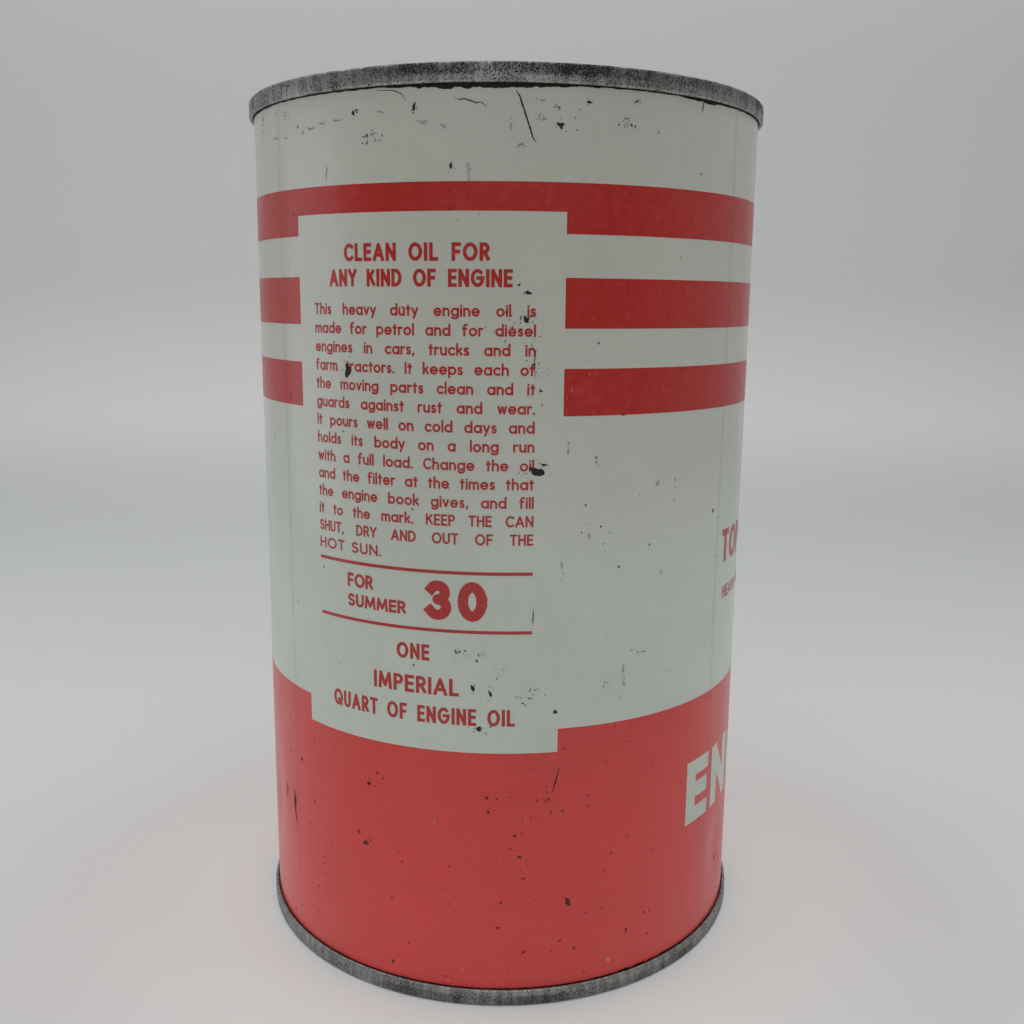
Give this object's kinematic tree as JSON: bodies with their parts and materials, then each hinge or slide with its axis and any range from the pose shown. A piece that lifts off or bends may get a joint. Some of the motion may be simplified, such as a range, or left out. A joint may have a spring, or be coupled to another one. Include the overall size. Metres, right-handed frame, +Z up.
{
  "type": "motor oil can",
  "caption": "Sealed cylindrical sheet-metal oil can with a printed body, a soldered side seam and double-seamed ends.",
  "frame": {"origin": "centre of the circle that the can stands on", "axes": "+Z up along the can's axis, -Y out of the side that is looked at, +Y out of the side seam"},
  "size_m": [0.1014, 0.1014, 0.1651],
  "materials": {
    "printed_body": "glossy lithographed enamel, chipped and scratched",
    "tinplate_top": "tarnished tinplate, mottled",
    "tinplate_bottom": "tarnished tinplate, mottled",
    "solder": "dull soft solder",
    "sealing_compound": "matt"
  },
  "bodies": {
    "root": {"can_body": "printed_body", "top_end": "tinplate_top", "bottom_end": "tinplate_bottom", "side_seam_solder": "solder", "top_seam_compound": "sealing_compound", "bottom_seam_compound": "sealing_compound"}
  },
  "joints": []
}
